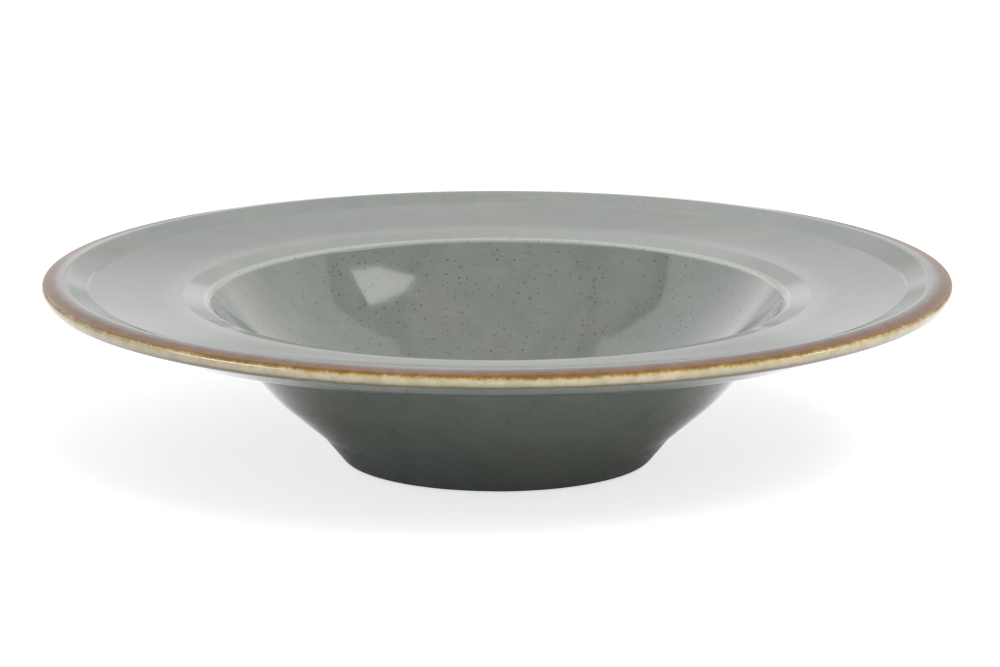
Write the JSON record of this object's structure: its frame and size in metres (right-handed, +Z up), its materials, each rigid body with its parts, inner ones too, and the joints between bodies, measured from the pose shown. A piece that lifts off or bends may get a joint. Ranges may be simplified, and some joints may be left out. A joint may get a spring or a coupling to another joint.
{
  "type": "rimmed soup plate",
  "caption": "Rimmed soup plate: deep conical well, wide gently rising rim, rolled lip with a cream and brown glazed edge, and a flared foot ring with a dry bearing face.",
  "frame": {"origin": "on the table, at the centre of the foot ring", "axes": "+Z up along the plate's axis; the plate is round, so X and Y are free"},
  "size_m": [0.26, 0.26, 0.0539],
  "materials": {
    "fired_clay": "matte",
    "grey_glaze": "gloss",
    "cream_glaze": "gloss",
    "brown_glaze": "gloss"
  },
  "bodies": {
    "root": {"clay_body": "fired_clay", "upper_glaze": "grey_glaze", "under_glaze": "grey_glaze", "base_glaze": "grey_glaze", "cream_edge": "cream_glaze", "brown_band": "brown_glaze", "brown_line": "brown_glaze"}
  },
  "joints": []
}
